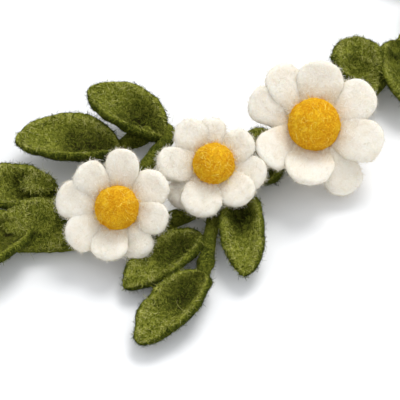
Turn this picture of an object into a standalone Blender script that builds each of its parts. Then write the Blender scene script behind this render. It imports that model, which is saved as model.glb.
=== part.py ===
"""Felt flower wreath: a felt-wrapped ring that lies flat, with daisies and cupped leaves sewn to it.

Metres, +Z up. The origin is the middle of the whole outline, on the surface that the wreath lies on.
The tables below give places from the ring's own centre, and angles round it from +X. The stretch
between -105 and -20 degrees carries three daisies close together, two leafy sprigs and a bunch of
leaves at each end. The rest of the ring repeats a daisy and a bunch of three leaves.
"""

import math
from collections import namedtuple

import bmesh
import bpy
from mathutils import Matrix, Vector

# Driving dimensions. The ring's centre lies a little off the middle of the whole outline.
RING_RADIUS = 0.150
RING_CENTRE = (-0.0024, 0.01225)
VINE_RADIUS = 0.0034
LEAF_THICKNESS = 0.0034
PETAL_THICKNESS = 0.0050
GAP = 0.0003
SHORTEST_EDGE = 0.00002

# The vine is wrapped by hand, so it wanders a little and its thickness varies.
VINE_STEPS = 72
VINE_SIDES = 8
VINE_WANDER = 0.0026
VINE_WANDER_TURNS = 5
VINE_WANDER_START = 158
VINE_SWELL = 0.07
VINE_SWELL_TURNS = 23
STEM_SIDES = 8

# A leaf is a felt pad. Its sides fold up at the stalk and flatten out towards the tip.
LEAF_SIDES = 8
LEAF_STATIONS = (0.0, 0.10, 0.22, 0.38, 0.56, 0.74, 0.89, 0.985)
LEAF_STALK = 0.20
LEAF_BLUNTNESS = 0.74
LEAF_SKEW = 0.88
LEAF_TIP_CURL = 0.35
LEAF_TIP_THINNING = 0.55
LEAF_SQUARENESS = 0.72

# A daisy's centre is a felted ball, sunk by a share of its radius into a dish in the petals' middle.
BALL_SHARE = 0.38
BALL_SINK = 0.36
BALL_RINGS = 7
BALL_SIDES = 11
DISH_FLARE = 1.02
DISH_FLOOR = 0.72
DISH_LIP = 0.25
DISH_WALL = 0.0006

# The petals narrow below the dish to a foot that stands on the vine's highest stretches.
FOOT_HEIGHT = 0.0071
FOOT_SHARE = 0.20
WAIST_SHARE = 0.97

# Where a petal is cut across its width, from one edge to the other.
SEEN_SPREAD = (-0.97, -0.60, 0.0, 0.60, 0.97)
PLAIN_SPREAD = (-0.96, -0.45, 0.45, 0.96)
PETAL_EDGE_THINNING = 0.45

# A row for each ring round the petals: its share of their reach, and its height in half thicknesses.
PetalRow = namedtuple("PetalRow", "share height")
PETAL_ROWS = (
    PetalRow(0.50, -1.0),
    PetalRow(0.88, -0.75),
    PetalRow(1.00, -0.05),
    PetalRow(0.90, 0.75),
    PetalRow(0.66, 1.0),
)

# Each felt's name, colour and roughness.
Felt = namedtuple("Felt", "name colour roughness")
WHITE = Felt("white_felt", (0.80, 0.74, 0.62), 0.95)
YELLOW = Felt("yellow_felt", (0.66, 0.35, 0.014), 0.95)
LEAF_GREEN = Felt("leaf_felt", (0.10, 0.12, 0.018), 0.95)
VINE_GREEN = Felt("vine_felt", (0.085, 0.10, 0.016), 0.95)

# A petal's direction in the daisy's own plane, its size against the daisy's, and how steeply it lifts.
Petal = namedtuple("Petal", "turn reach width lift")

# A daisy's ball centre, which way and how far it leans, and the size of its petals.
Daisy = namedtuple("Daisy", "name ball lean_to lean reach width petals")
SEEN_DAISIES = (
    Daisy("daisy_1", (0.0321, -0.1487, 0.020), -90, 33, 0.0215, 0.0132, (
        Petal(84, 1.01, 0.94, 12),
        Petal(31, 0.97, 1.05, 10),
        Petal(-16, 0.90, 0.90, 14),
        Petal(-62, 0.96, 0.95, 4),
        Petal(-102, 0.93, 1.06, 22),
        Petal(-143, 1.02, 1.05, 18),
        Petal(171, 1.05, 1.05, 10),
        Petal(131, 0.95, 1.00, 16),
    )),
    Daisy("daisy_2", (0.0676, -0.1294, 0.0215), -90, 24, 0.0205, 0.0130, (
        Petal(128, 0.97, 0.96, 14),
        Petal(90, 0.88, 0.70, 10),
        Petal(38, 0.86, 0.97, 12),
        Petal(-11, 0.97, 1.00, 8),
        Petal(-50, 0.95, 1.05, 14),
        Petal(-109, 1.03, 1.16, 10),
        Petal(-140, 1.02, 0.95, -6),
        Petal(181, 1.03, 1.00, 16),
    )),
    Daisy("daisy_3", (0.1050, -0.1122, 0.0235), -90, 27, 0.0260, 0.0165, (
        Petal(82, 0.93, 1.08, 14),
        Petal(31, 1.00, 1.00, 10),
        Petal(-18, 1.03, 1.00, 8),
        Petal(-60, 1.08, 0.90, -8),
        Petal(-94, 0.92, 1.10, 26),
        Petal(-141, 0.92, 0.88, 28),
        Petal(159, 1.00, 0.92, 14),
        Petal(123, 1.02, 0.95, 12),
    )),
)

# A leaf's base point, the way it points and rises, its roll about its length, its size, and how its two
# sides and its length curl. A side with a negative curl bends down.
Leaf = namedtuple("Leaf", "name base heading pitch roll length width curl_left curl_right bend")
SEEN_LEAVES = (
    Leaf("leaf_a1", (0.0325, -0.1110, 0.0060), 177, 4, 0, 0.040, 0.0270, 95, 60, 6),
    Leaf("leaf_a2", (0.0485, -0.1050, 0.0070), 147, 8, 0, 0.0345, 0.0245, 95, 60, 6),
    Leaf("leaf_b1", (0.0630, -0.1505, 0.0060), 220, -3, 0, 0.037, 0.0190, 70, 70, 4),
    Leaf("leaf_b2", (0.0642, -0.1690, 0.0060), 232, -2, 0, 0.039, 0.0205, 75, 65, 4),
    Leaf("leaf_b3", (0.0770, -0.1305, 0.0080), 273, -3, 0, 0.040, 0.0185, 70, 70, 4),
    Leaf("leaf_l1", (0.0100, -0.1345, 0.0080), 176, 3, 0, 0.036, 0.0235, 70, 70, 4),
    Leaf("leaf_l2", (-0.0005, -0.1505, 0.0090), 206, -2, 0, 0.042, 0.0290, 75, 70, 4),
    Leaf("leaf_l3", (0.0160, -0.1485, 0.0105), 180, 0, -23, 0.027, 0.0205, -30, -30, 4),
    Leaf("leaf_l4", (0.0085, -0.1315, 0.0110), 183, 6, 0, 0.0125, 0.0105, 25, 25, 4),
    Leaf("leaf_m1", (0.0885, -0.1255, 0.0060), 102, 2, 0, 0.025, 0.0180, 60, 60, 4),
    Leaf("leaf_r1", (0.1255, -0.0825, 0.0090), 104, 6, 0, 0.0235, 0.0220, 75, 75, 4),
    Leaf("leaf_r2", (0.1195, -0.0670, 0.0095), 290, 0, 0, 0.0225, 0.0160, 50, 50, 4),
    Leaf("leaf_r3", (0.1380, -0.0580, 0.0080), 285, 0, 0, 0.038, 0.0250, 70, 70, 4),
)

# The sprigs' stems: how thick they are, and their points from the vine outwards.
Stem = namedtuple("Stem", "name radius points")
STEMS = (
    Stem("sprig_a_stem", 0.0028, (
        (0.0220, -0.1490, 0.006), (0.0310, -0.1350, 0.006), (0.0420, -0.1180, 0.006),
        (0.0500, -0.1055, 0.006), (0.0505, -0.1010, 0.006), (0.0460, -0.0995, 0.005),
        (0.0380, -0.1040, 0.005), (0.0325, -0.1085, 0.005),
    )),
    Stem("sprig_b_stem", 0.0025, (
        (0.0690, -0.1320, 0.005), (0.0676, -0.1410, 0.006), (0.0664, -0.1510, 0.006),
        (0.0652, -0.1600, 0.006), (0.0634, -0.1685, 0.005),
    )),
)

# The plain rest of the ring: where its daisies stand, and their two sizes by turns.
PLAIN_FIRST = 12
PLAIN_STEP = 37
PLAIN_COUNT = 7
PLAIN_REACH = (0.0220, 0.0255)
PLAIN_WIDTH_SHARE = 0.63
PLAIN_BALL_HEIGHT = 0.019
PLAIN_LEAN = 16
PLAIN_PETALS = 8
PLAIN_PETAL_SHIFT = 17
PLAIN_REACHES = (1.0, 0.96, 0.92)
PLAIN_LIFTS = (14, 9, 16, 11)

# A bunch's three leaves, and how far before each plain daisy they are sewn to the vine.
BunchLeaf = namedtuple("BunchLeaf", "name turn length width")
PLAIN_BUNCH = (
    BunchLeaf("out", -40, 0.042, 0.026),
    BunchLeaf("in", 42, 0.040, 0.025),
    BunchLeaf("back", 152, 0.034, 0.022),
)
PLAIN_BUNCH_BEFORE = 21
PLAIN_LEAF_HEIGHT = 0.006
PLAIN_LEAF_PITCH = 6
PLAIN_LEAF_CURL = 70
PLAIN_LEAF_BEND = 8


def clear_scene():
    """Removes every object that the file starts with."""
    for obj in list(bpy.data.objects):
        bpy.data.objects.remove(obj, do_unlink=True)


def felt_material(felt):
    """The material of a felt, made on first use."""
    material = bpy.data.materials.get(felt.name) or bpy.data.materials.new(felt.name)
    material.use_nodes = True
    shader = material.node_tree.nodes["Principled BSDF"]
    shader.inputs["Base Color"].default_value = (*felt.colour, 1.0)
    shader.inputs["Roughness"].default_value = felt.roughness
    return material


def closed_object(name, points, faces):
    """A mesh object of triangles whose faces point outwards, placed round the ring's centre."""
    mesh = bpy.data.meshes.new(name)
    mesh.from_pydata([tuple(p) for p in points], [], faces)
    shape = bmesh.new()
    shape.from_mesh(mesh)
    bmesh.ops.triangulate(shape, faces=shape.faces)
    bmesh.ops.recalc_face_normals(shape, faces=shape.faces)
    shape.to_mesh(mesh)
    shape.free()
    obj = bpy.data.objects.new(name, mesh)
    obj.location = (*RING_CENTRE, 0)
    bpy.context.scene.collection.objects.link(obj)
    return obj


def lofted(name, rings, closed=False):
    """Joins rings of points one after another, and caps the two ends unless the rings are closed."""
    sides = len(rings[0])
    points = [p for ring in rings for p in ring]
    faces = []
    for i in range(len(rings) if closed else len(rings) - 1):
        here = i * sides
        there = (i + 1) % len(rings) * sides
        for k in range(sides):
            after = (k + 1) % sides
            faces.append((here + k, here + after, there + after, there + k))
    if not closed:
        faces.append(tuple(range(sides)))
        faces.append(tuple(len(points) - 1 - k for k in range(sides)))
    return closed_object(name, points, faces)


def polar(angle, reach, height):
    """The point at an angle in radians, a distance out from the Z axis and a height."""
    return Vector((reach * math.cos(angle), reach * math.sin(angle), height))


def vine_point(angle, height=0.0):
    """A point above the vine's middle line, at an angle in degrees round the ring."""
    wander = math.sin(math.radians(VINE_WANDER_TURNS * angle + VINE_WANDER_START))
    return polar(math.radians(angle), RING_RADIUS + VINE_WANDER * wander, height)


def vine_rings(grow=0.0):
    """Rings of the vine, each with a flat side down on the surface."""
    rings = []
    half_side = math.pi / VINE_SIDES
    for i in range(VINE_STEPS):
        angle = 360 * i / VINE_STEPS
        radius = VINE_RADIUS * (1 + VINE_SWELL * math.sin(math.radians(VINE_SWELL_TURNS * angle)))
        centre = vine_point(angle, radius * math.cos(half_side))
        ring = []
        for k in range(VINE_SIDES):
            phi = (2 * k + 1) * half_side
            out = polar(math.radians(angle), math.cos(phi), math.sin(phi))
            ring.append(centre + out * (radius + grow))
        rings.append(ring)
    return rings


def stem_rings(stem, grow=0.0):
    """Rings of a sprig's stem along its points."""
    line = [Vector(p) for p in stem.points]
    last = len(line) - 1
    radius = stem.radius + grow
    rings = []
    for i, centre in enumerate(line):
        ahead = (line[min(i + 1, last)] - line[max(i - 1, 0)]).normalized()
        side = ahead.cross(Vector((0, 0, 1))).normalized()
        up = side.cross(ahead)
        end = {0: -1, last: 1}.get(i, 0)
        ring = []
        for k in range(STEM_SIDES):
            phi = 2 * math.pi * k / STEM_SIDES
            ring.append(centre + ahead * grow * end + (side * math.cos(phi) + up * math.sin(phi)) * radius)
        rings.append(ring)
    return rings


def leaf_outline(s):
    """A leaf's half width along its length: a narrow stalk that widens to a blunt oval."""
    t = s ** LEAF_SKEW
    return max(LEAF_STALK * (1 - s), (4 * t * (1 - t)) ** LEAF_BLUNTNESS)


def squared(value):
    """Pushes a point of a round section out towards a rounded rectangle."""
    return math.copysign(abs(value) ** LEAF_SQUARENESS, value)


def leaf_rings(leaf, grow=0.0):
    """Rings of a leaf along its length."""
    place = (
        Matrix.Translation(leaf.base)
        @ Matrix.Rotation(math.radians(leaf.heading), 4, "Z")
        @ Matrix.Rotation(-math.radians(leaf.pitch), 4, "Y")
        @ Matrix.Rotation(math.radians(leaf.roll), 4, "X")
    )
    arc_radius = leaf.length / math.radians(leaf.bend)
    ends = {LEAF_STATIONS[0]: -1, LEAF_STATIONS[-1]: 1}
    rings = []
    for s in LEAF_STATIONS:
        half = leaf.width / 2 * leaf_outline(s) + grow
        thick = LEAF_THICKNESS / 2 * (1 - LEAF_TIP_THINNING * s ** 8) + grow
        turn = math.radians(leaf.bend) * s
        ahead = Vector((math.cos(turn), 0, math.sin(turn)))
        up = Vector((-math.sin(turn), 0, math.cos(turn)))
        centre = Vector((math.sin(turn), 0, 1 - math.cos(turn))) * arc_radius
        centre += ahead * grow * ends.get(s, 0)
        ring = []
        for k in range(LEAF_SIDES):
            phi = 2 * math.pi * k / LEAF_SIDES
            across = squared(math.cos(phi))
            above = squared(math.sin(phi)) * thick
            curl = math.radians(leaf.curl_left if across > 0 else leaf.curl_right)
            curl *= 1 - (1 - LEAF_TIP_CURL) * s
            angle = curl * across
            out = half * math.sin(angle) / curl - math.sin(angle) * above
            rise = half * (1 - math.cos(angle)) / curl + math.cos(angle) * above
            ring.append(place @ (centre + Vector((0, out, 0)) + up * rise))
        rings.append(ring)
    return rings


def daisy_matrix(daisy):
    """The frame of a daisy: its origin is the ball's centre and +Z is the way it faces."""
    facing = Matrix.Rotation(math.radians(daisy.lean_to), 4, "Z")
    lean = Matrix.Rotation(math.radians(daisy.lean), 4, "Y")
    return Matrix.Translation(daisy.ball) @ facing @ lean @ Matrix.Rotation(math.radians(90), 4, "Z")


def ball_radius(daisy):
    """The radius of a daisy's felted ball."""
    return BALL_SHARE * daisy.reach


def ball_rings(daisy, grow=0.0):
    """Rings of the felted ball at a daisy's centre."""
    radius = ball_radius(daisy) + grow
    matrix = daisy_matrix(daisy)
    rings = []
    for i in range(BALL_RINGS):
        down = math.pi * (i + 0.5) / BALL_RINGS
        ring = []
        for k in range(BALL_SIDES):
            phi = 2 * math.pi * k / BALL_SIDES
            ring.append(matrix @ polar(phi, radius * math.sin(down), radius * math.cos(down)))
        rings.append(ring)
    return rings


def petal_columns(daisy, spread):
    """The angles at which the petals are cut, each with its offset, its petal and its place across it."""
    petals = sorted(daisy.petals, key=lambda petal: petal.turn)
    columns = []
    for i, petal in enumerate(petals):
        before = (petal.turn - petals[i - 1].turn) % 360 / 2
        after = (petals[(i + 1) % len(petals)].turn - petal.turn) % 360 / 2
        for across in spread:
            offset = across * (after if across > 0 else before)
            columns.append((math.radians(petal.turn + offset), math.radians(offset), petal, across))
    return columns


def petal_reach_at(daisy, petal, offset):
    """How far a round-ended petal reaches at an angle away from its middle line."""
    half = petal.width * daisy.width / 2
    middle = petal.reach * daisy.reach - half
    chord = max(0.0, half ** 2 - (middle * math.sin(offset)) ** 2)
    return middle * math.cos(offset) + math.sqrt(chord)


def foot_ring(daisy, columns, grow):
    """The level ring with which a daisy's petals stand on the vine."""
    matrix = daisy_matrix(daisy)
    under = matrix @ Vector((0, 0, -ball_radius(daisy)))
    foot = vine_point(math.degrees(math.atan2(under.y, under.x)), FOOT_HEIGHT - grow)
    ring = []
    for angle, *_ in columns:
        side = (matrix.to_3x3() @ polar(angle, 1, 0)) * Vector((1, 1, 0))
        ring.append(foot + side.normalized() * (FOOT_SHARE * daisy.reach + grow))
    return ring


def corolla_rings(daisy, spread, grow=0.0):
    """Rings round a daisy's petals: up from the foot, round their ends and down into the ball's dish."""
    matrix = daisy_matrix(daisy)
    radius = ball_radius(daisy)
    plane = -BALL_SINK * radius
    lip = DISH_FLARE * radius + GAP
    floor = -radius - GAP
    columns = petal_columns(daisy, spread)
    waist = (WAIST_SHARE * radius + grow, floor - DISH_WALL - grow)
    rings = [foot_ring(daisy, columns, grow), [matrix @ polar(angle, *waist) for angle, *_ in columns]]
    for row in PETAL_ROWS:
        ring = []
        for angle, offset, petal, across in columns:
            out = max(petal_reach_at(daisy, petal, offset) * row.share, lip + DISH_WALL) + grow * row.share
            rise = max(0.0, out - lip) * math.tan(math.radians(petal.lift))
            half = PETAL_THICKNESS / 2 * (1 - PETAL_EDGE_THINNING * abs(across) ** 3) + grow
            ring.append(matrix @ polar(angle, out, plane + rise + half * row.height))
        rings.append(ring)
    for inner in ((lip - grow, plane + PETAL_THICKNESS * DISH_LIP), (DISH_FLOOR * radius, floor + grow)):
        rings.append([matrix @ polar(angle, *inner) for angle, *_ in columns])
    return rings


def plain_daisies():
    """The daisies of the plain rest of the ring."""
    daisies = []
    for i in range(PLAIN_COUNT):
        angle = PLAIN_FIRST + i * PLAIN_STEP
        reach = PLAIN_REACH[i % len(PLAIN_REACH)]
        petals = []
        for k in range(PLAIN_PETALS):
            turn = 360 / PLAIN_PETALS * k + PLAIN_PETAL_SHIFT * i
            size = PLAIN_REACHES[k % len(PLAIN_REACHES)]
            petals.append(Petal(turn, size, 1.0, PLAIN_LIFTS[(k + i) % len(PLAIN_LIFTS)]))
        spot = vine_point(angle, PLAIN_BALL_HEIGHT)
        width = PLAIN_WIDTH_SHARE * reach
        daisies.append(Daisy(f"daisy_{i + 4}", spot, angle, PLAIN_LEAN, reach, width, petals))
    return daisies


def plain_leaves():
    """The bunches of leaves between the daisies of the plain rest of the ring."""
    leaves = []
    for i in range(PLAIN_COUNT + 1):
        angle = PLAIN_FIRST + i * PLAIN_STEP - PLAIN_BUNCH_BEFORE
        spot = vine_point(angle, PLAIN_LEAF_HEIGHT)
        for leaf in PLAIN_BUNCH:
            name = f"leaf_{leaf.name}_{i + 1}"
            side = 1 if leaf.name != "back" or i % 2 else -1
            leaves.append(Leaf(
                name, spot, angle + 90 + side * leaf.turn, PLAIN_LEAF_PITCH, 0, leaf.length, leaf.width,
                PLAIN_LEAF_CURL, PLAIN_LEAF_CURL, PLAIN_LEAF_BEND,
            ))
    return leaves


def boxes_meet(a, b):
    """Whether two objects' boxes overlap."""
    for axis in range(3):
        a_places = [v.co[axis] for v in a.data.vertices]
        b_places = [v.co[axis] for v in b.data.vertices]
        if max(a_places) < min(b_places) or max(b_places) < min(a_places):
            return False
    return True


def cut_back(obj, rooms):
    """Cuts the reserved spaces out of a piece, and keeps the result as its mesh."""
    for room in rooms:
        modifier = obj.modifiers.new(room.name, "BOOLEAN")
        modifier.operation = "DIFFERENCE"
        modifier.solver = "EXACT"
        modifier.object = room
    graph = bpy.context.evaluated_depsgraph_get()
    mesh = bpy.data.meshes.new_from_object(obj.evaluated_get(graph))
    obj.modifiers.clear()
    obj.data = mesh


def connected_parts(shape):
    """The sets of vertices that hang together, the smallest first."""
    left = set(shape.verts)
    parts = []
    while left:
        part = {left.pop()}
        edge = list(part)
        while edge:
            edge = list({e.other_vert(v) for v in edge for e in v.link_edges} - part)
            part.update(edge)
        left -= part
        parts.append(part)
    return sorted(parts, key=len)


def trim_crumbs(obj):
    """Removes the crumbs that a cut leaves apart from the piece, and the slivers on it."""
    shape = bmesh.new()
    shape.from_mesh(obj.data)
    for crumb in connected_parts(shape)[:-1]:
        bmesh.ops.delete(shape, geom=list(crumb), context="VERTS")
    bmesh.ops.dissolve_degenerate(shape, dist=SHORTEST_EDGE, edges=shape.edges)
    bmesh.ops.triangulate(shape, faces=shape.faces)
    shape.to_mesh(obj.data)
    shape.free()


class Bench:
    """Holds the settled pieces. Each new piece gives way, by a small gap, to those that it presses on."""

    def __init__(self):
        self.rooms = []

    def settle(self, obj, felt):
        """Cuts a new piece back from what is there already, and gives it its felt."""
        pressed = [room for room in self.rooms if boxes_meet(obj, room)]
        if pressed:
            cut_back(obj, pressed)
            trim_crumbs(obj)
        obj.data.materials.clear()
        obj.data.materials.append(felt_material(felt))
        obj.data.shade_smooth()
        obj.data.set_sharp_from_angle(angle=math.radians(50))

    def reserve(self, *rooms):
        """Keeps the space of a settled piece, with its gap, clear of later ones."""
        for room in rooms:
            room.hide_render = True
            room.display_type = "WIRE"
        self.rooms.extend(rooms)

    def clear(self):
        """Removes the reserved spaces."""
        for room in self.rooms:
            bpy.data.objects.remove(room, do_unlink=True)


def add_vine(bench):
    """The felt-wrapped ring."""
    bench.settle(lofted("vine", vine_rings(), closed=True), VINE_GREEN)
    bench.reserve(lofted("vine_room", vine_rings(GAP), closed=True))


def add_stem(bench, stem):
    """A sprig's stem."""
    bench.settle(lofted(stem.name, stem_rings(stem)), VINE_GREEN)
    bench.reserve(lofted(stem.name + "_room", stem_rings(stem, GAP)))


def add_daisy(bench, daisy, spread):
    """A daisy's ball and its petals, which leave the ball its dish."""
    centre = daisy.name + "_centre"
    petals = daisy.name + "_petals"
    bench.settle(lofted(centre, ball_rings(daisy)), YELLOW)
    bench.settle(lofted(petals, corolla_rings(daisy, spread)), WHITE)
    bench.reserve(
        lofted(centre + "_room", ball_rings(daisy, GAP)),
        lofted(petals + "_room", corolla_rings(daisy, spread, GAP)),
    )


def add_leaf(bench, leaf):
    """One leaf."""
    bench.settle(lofted(leaf.name, leaf_rings(leaf)), LEAF_GREEN)
    bench.reserve(lofted(leaf.name + "_room", leaf_rings(leaf, GAP)))


def build():
    """Builds the wreath, the vine first and then what is sewn to it."""
    clear_scene()
    bench = Bench()
    add_vine(bench)
    for stem in STEMS:
        add_stem(bench, stem)
    for daisy in SEEN_DAISIES:
        add_daisy(bench, daisy, SEEN_SPREAD)
    for daisy in plain_daisies():
        add_daisy(bench, daisy, PLAIN_SPREAD)
    for leaf in (*SEEN_LEAVES, *plain_leaves()):
        add_leaf(bench, leaf)
    bench.clear()


build()
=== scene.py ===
"""Felt flower wreath: the looks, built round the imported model.

Metres, +Z up. The tables give places from the ring's own centre, as in the part's source. Each
petal, leaf, ball and stem is a closed pad of felt, and loose fibres lie on it and stand off it.
"""

import math
from collections import namedtuple

import bpy
import numpy as np
from mathutils import Matrix, Vector, noise

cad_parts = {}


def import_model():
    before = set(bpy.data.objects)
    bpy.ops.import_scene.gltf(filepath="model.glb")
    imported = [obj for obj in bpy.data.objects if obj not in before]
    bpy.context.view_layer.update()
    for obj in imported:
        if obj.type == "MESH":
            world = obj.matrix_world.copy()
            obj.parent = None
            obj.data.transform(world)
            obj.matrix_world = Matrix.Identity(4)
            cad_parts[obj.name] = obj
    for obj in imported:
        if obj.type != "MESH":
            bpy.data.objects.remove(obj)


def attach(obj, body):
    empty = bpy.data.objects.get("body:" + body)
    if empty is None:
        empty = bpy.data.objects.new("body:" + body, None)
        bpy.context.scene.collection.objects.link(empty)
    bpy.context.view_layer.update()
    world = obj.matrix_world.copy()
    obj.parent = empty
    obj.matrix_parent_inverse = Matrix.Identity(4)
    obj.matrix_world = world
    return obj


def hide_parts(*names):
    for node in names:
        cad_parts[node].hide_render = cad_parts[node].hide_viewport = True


# The ring, as in the part's source.
RING_RADIUS = 0.150
RING_CENTRE = (-0.0024, 0.01225)
VINE_RADIUS = 0.0034
LEAF_THICKNESS = 0.0034
PETAL_THICKNESS = 0.0050
VINE_WANDER = 0.0026
VINE_WANDER_TURNS = 5
VINE_WANDER_START = 158
VINE_SWELL = 0.07
VINE_SWELL_TURNS = 23

# The view of the photo: near-parallel, from the viewer's side and above.
VIEW_ELEVATION = 52
VIEW_CENTRE = (0.0625, -0.1295)
VIEW_WIDTH = 0.150
VIEW_DISTANCE = 1.2
VIEW_CLIP = 10
SENSOR_WIDTH = 36

# The light: a soft one from above, behind and a little to the right, pale surroundings and a white surface.
KEY_PLACE = (0.45, 0.80, 1.45)
KEY_AIM = (0.05, -0.10, 0.0)
KEY_SIZE = 0.8
KEY_ENERGY = 17.5
SURROUND_COLOUR = (0.95, 0.97, 1.0, 1.0)
SURROUND_STRENGTH = 0.87
SURFACE_REACH = 2
SURFACE_WHITE = (0.97, 0.97, 0.97, 1.0)
SURFACE_ROUGHNESS = 0.9

# The lumps of felt that is made by hand, large ones and small ones: how wide they are and how high. Each
# seed shifts them by its own steps.
Lump = namedtuple("Lump", "size height")
LEAF_LUMPS = (Lump(0.006, 0.0010), Lump(0.0016, 0.00035))
PETAL_LUMPS = (Lump(0.005, 0.0009), Lump(0.0014, 0.00025))
BALL_LUMPS = (Lump(0.004, 0.0004), Lump(0.0013, 0.00015))
TUBE_LUMPS = (Lump(0.004, 0.0005), Lump(0.0014, 0.0003))
SEED_STEPS = (1.7, 2.3, 3.1)

# The random seeds of a kind of piece: its first piece's lumps, how far apart its pieces' lumps are, and its
# first piece's fibres.
Seeds = namedtuple("Seeds", "lumps apart fibres")
VINE_SEEDS = Seeds(11, 1, 800)
STEM_SEEDS = Seeds(30, 1, 810)
LEAF_SEEDS = Seeds(20, 3, 500)
PETAL_SEEDS = Seeds(200, 10, 600)
BALL_SEEDS = Seeds(400, 2, 700)

# Where a section counts as underneath and takes painted shade: below which height, and over how much of it
# that fades in.
Under = namedtuple("Under", "height fade")
LEAF_UNDER = Under(0.40, 0.5)
PETAL_UNDER = Under(0.3, 0.6)

# The vine and the stems. The vine's underside is flat at a share of its radius. Even shares of painted
# hollow shade and underside shade darken both all over.
VINE_FLAT = 0.93
TUBE_FLOOR = 0.0002
TUBE_HOLLOW = 0.15
TUBE_UNDER = 0.4
STEM_SMOOTHINGS = 3

# Leaves: pads whose sides fold up from the stalk, with a raised rim round a hollow.
LEAF_START = 0.001
LEAF_SPAN = 0.995
LEAF_STALK = 0.20
LEAF_BLUNTNESS = 0.62
LEAF_SKEW = 0.88
LEAF_TIP_CURL = 0.55
LEAF_TIP_THINNING = 0.35
LEAF_TIP_ROUND = 0.6
LEAF_SQUARENESS = 0.72
LEAF_RIM = 0.0015
LEAF_RIM_LEVEL = 0.3
LEAF_DIP = 0.0019
LEAF_DIP_PLACE = 0.30
LEAF_DIP_REACH = 0.34
LEAF_FLOOR = 0.0004

# The creases of two bunches lie where such lumps would sink deepest, and painted shade darkens them.
# Their leaves' hollows have a lighter painted shade.
CREASED_BUNCHES = ("leaf_l", "leaf_r")
CREASES = Lump(0.0075, 2.6)
CREASE_LEVEL = 0.1
CREASE_DEPTH = 0.0016
CREASED_HOLLOW = 0.5

# Daisies: a ball on a ring of petals, and a foot under them. A ring of the foot is a share of the ball's
# radius wide and high, from the vine up.
BALL_SHARE = 0.38
BALL_SINK = 0.36
FOOT_HEIGHT = 0.0071
FOOT_SHARE = 0.20
FOOT_SIDES = 24
FOOT_RINGS = ((0.95, -1.05), (1.15, -0.75), (1.2, -0.45))

# Petals: pads that widen and thicken from a neck under the ball to a round end, and cup a little.
PETAL_START = 0.45
PETAL_NECK_WIDTH = 0.68
PETAL_WIDENING = 0.32
PETAL_WIDENING_POWER = 1.2
PETAL_END_POWER = 2.5
PETAL_END_ROUND = 0.45
PETAL_NECK_THICKNESS = 0.80
PETAL_THICKENING = 0.25
PETAL_SIDE_SQUARENESS = 0.80
PETAL_FACE_SQUARENESS = 0.66
PETAL_CUP = 0.0009

# A petal's direction in the daisy's own plane, its size against the daisy's, and how steeply it lifts.
# over is how far it lies above its neighbours, and roll turns it about its own length.
Petal = namedtuple("Petal", "turn reach width lift over roll")

# A daisy's ball centre, which way and how far it leans, and the size of its petals.
Daisy = namedtuple("Daisy", "name ball lean_to lean reach width petals")
SEEN_DAISIES = (
    Daisy("daisy_1", (0.0321, -0.1487, 0.020), -90, 33, 0.0215, 0.0132, (
        Petal(84, 1.01, 0.94, 12, 0.0006, 0),
        Petal(31, 0.97, 1.05, 10, -0.0006, -4),
        Petal(-16, 0.90, 0.90, 14, 0.0006, 6),
        Petal(-62, 0.96, 0.95, 4, -0.0008, 8),
        Petal(-102, 0.93, 1.06, 22, 0.0008, 4),
        Petal(-143, 1.02, 1.05, 18, -0.0006, -6),
        Petal(171, 1.05, 1.05, 10, 0.0010, -4),
        Petal(131, 0.95, 1.00, 16, 0.0008, 4),
    )),
    Daisy("daisy_2", (0.0676, -0.1294, 0.0215), -90, 24, 0.0205, 0.0130, (
        Petal(128, 0.97, 0.96, 14, 0.0004, 0),
        Petal(90, 0.88, 0.70, 10, -0.0006, 0),
        Petal(38, 0.86, 0.97, 12, 0.0002, -4),
        Petal(-11, 0.97, 1.00, 8, -0.0006, 4),
        Petal(-50, 0.95, 1.05, 14, 0.0008, 6),
        Petal(-109, 1.03, 1.16, 10, 0.0010, 0),
        Petal(-140, 1.02, 0.95, -6, -0.0014, 0),
        Petal(181, 1.03, 1.00, 16, 0.0006, -6),
    )),
    Daisy("daisy_3", (0.1050, -0.1122, 0.0235), -90, 27, 0.0260, 0.0165, (
        Petal(82, 0.93, 1.08, 14, 0.0008, 0),
        Petal(31, 1.00, 1.00, 10, -0.0004, -4),
        Petal(-18, 1.03, 1.00, 8, 0.0004, 4),
        Petal(-60, 1.08, 0.90, -8, -0.0018, 0),
        Petal(-97, 0.92, 1.12, 26, 0.0010, -4),
        Petal(-146, 0.94, 0.96, 28, 0.0000, -6),
        Petal(157, 1.00, 0.85, 14, -0.0004, -4),
        Petal(123, 1.02, 0.95, 12, 0.0000, 14),
    )),
)

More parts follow.
